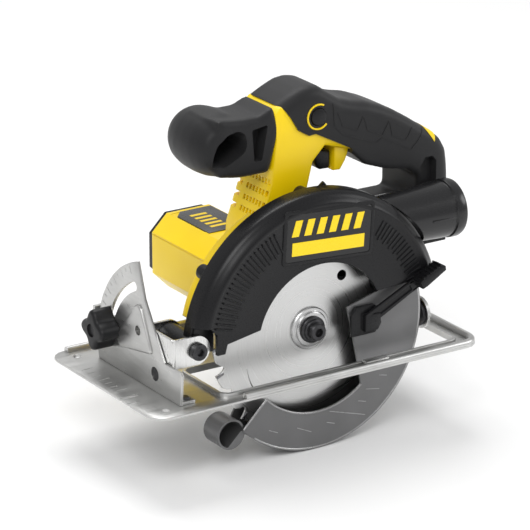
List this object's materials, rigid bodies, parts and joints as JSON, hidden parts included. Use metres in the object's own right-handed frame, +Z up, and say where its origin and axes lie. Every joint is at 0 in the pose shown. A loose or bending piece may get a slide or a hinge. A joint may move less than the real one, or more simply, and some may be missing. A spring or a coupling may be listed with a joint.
{
  "type": "circular saw",
  "caption": "Cordless circular saw with a tilting shoe, depth pivot, sprung lower guard, geared blade and closed rear handle.",
  "frame": {"origin": "on the shoe's sole plane, in the blade's mid-plane, straight below the arbor at full depth", "axes": "+X to the rear, -Y to the blade side, +Z up"},
  "size_m": [0.295, 0.1875, 0.2615],
  "materials": {
    "satin_steel": "satin, drawn along the sheet",
    "dark_steel": "blackened",
    "bright_steel": "bright, turned",
    "guard_steel": "grey, satin",
    "black_plastic": "fine texture",
    "black_rubber": "soft overmould",
    "cast_gear_case": "die cast, dark",
    "yellow_plastic": "smooth moulded",
    "grey_label": "printed film",
    "brass": "stamped",
    "copper": "enamelled wire and copper",
    "ferrite": "sintered",
    "wire_cover": "PVC"
  },
  "bodies": {
    "shoe": {"base_plate": "satin_steel", "bevel_quadrant": "satin_steel", "rear_pivot_ear": "satin_steel", "shoe_rivets": "dark_steel"},
    "bevel_frame": {"front_bracket": "satin_steel", "rear_bracket": "dark_steel", "depth_guide": "satin_steel", "bevel_pins": "dark_steel", "bevel_bolt": "dark_steel", "bevel_pointer": "satin_steel"},
    "bevel_knob": {"bevel_knob": "black_plastic"},
    "housing": {"upper_guard": "black_plastic", "guard_back": "black_plastic", "dust_port": "black_plastic", "label_plate": "yellow_plastic", "guard_screws": "bright_steel", "gear_case": "cast_gear_case", "motor_housing": "yellow_plastic", "motor_end_cap": "black_plastic", "motor_label": "grey_label", "handle_near": "yellow_plastic", "handle_far": "yellow_plastic", "handle_grip": "black_rubber", "front_handle": "black_plastic", "handle_screws": "bright_steel", "switch_body": "black_plastic", "battery_terminals": "brass", "battery_rails": "black_plastic", "stator_can": "bright_steel", "magnets": "ferrite", "brush_holders": "brass", "brushes": "ferrite", "motor_bearings": "bright_steel", "spindle_bearings": "bright_steel", "depth_pivot_bolt": "dark_steel", "depth_clamp_bolt": "dark_steel", "guard_spring": "bright_steel", "guard_retainer": "bright_steel", "lead_wires": "wire_cover"},
    "depth_lever": {"depth_lever": "black_plastic"},
    "blade_spindle": {"saw_blade": "bright_steel", "inner_flange": "dark_steel", "outer_flange": "bright_steel", "blade_bolt": "dark_steel", "spindle": "bright_steel", "drive_gear": "dark_steel"},
    "armature": {"motor_shaft": "bright_steel", "armature_core": "dark_steel", "windings": "copper", "commutator": "copper", "pinion": "bright_steel", "cooling_fan": "black_plastic"},
    "lower_guard": {"lower_guard": "guard_steel", "guard_lever": "black_plastic"},
    "trigger": {"trigger": "black_plastic"},
    "lock_off": {"lock_off": "black_plastic"},
    "spindle_lock": {"spindle_lock": "black_plastic"}
  },
  "joints": [
    {"name": "bevel_tilt", "type": "hinge", "parent": "shoe", "child": "bevel_frame", "pos_m": [0, 0.0105, 0.0154], "axis": [1, 0, 0], "range_deg": [0, 50]},
    {"name": "depth_swing", "type": "hinge", "parent": "bevel_frame", "child": "housing", "pos_m": [-0.1015, 0, 0.035], "axis": [0, -1, 0], "range_deg": [0, 31]},
    {"name": "bevel_knob_turn", "type": "hinge", "parent": "bevel_frame", "child": "bevel_knob", "pos_m": [-0.135, 0.07232, 0.03196], "axis": [-1, 0, 0], "range_deg": [0, 90]},
    {"name": "depth_lever_turn", "type": "hinge", "parent": "housing", "child": "depth_lever", "pos_m": [0.04829, 0.02, 0.04285], "axis": [0, -1, 0], "range_deg": [0, 45]},
    {"name": "blade_spin", "type": "hinge", "parent": "housing", "child": "blade_spindle", "pos_m": [0, 0, 0.0285], "axis": [0, 1, 0], "continuous": true},
    {"name": "motor_spin", "type": "hinge", "parent": "housing", "child": "armature", "pos_m": [-0.0151, 0.06, 0.05267], "axis": [0, 1, 0], "continuous": true},
    {"name": "lower_guard_open", "type": "hinge", "parent": "housing", "child": "lower_guard", "pos_m": [0, 0, 0.0285], "axis": [0, -1, 0], "range_deg": [0, 115], "stiffness_Nm_per_rad": 0.15, "springref_deg": -85.94},
    {"name": "trigger_pull", "type": "slide", "parent": "housing", "child": "trigger", "axis": [0, 0, 1], "range_m": [0, 0.005], "stiffness_N_per_m": 800, "springref_m": -0.001},
    {"name": "lock_off_push", "type": "slide", "parent": "housing", "child": "lock_off", "axis": [0, 1, 0], "range_m": [0, 0.0028], "stiffness_N_per_m": 600, "springref_m": -0.001},
    {"name": "spindle_lock_push", "type": "slide", "parent": "housing", "child": "spindle_lock", "axis": [1, 0, 0], "range_m": [0, 0.003], "stiffness_N_per_m": 800, "springref_m": -0.001}
  ],
  "couplings": [
    {"joint": "motor_spin", "follows": "blade_spin", "ratio": -5.3333}
  ]
}
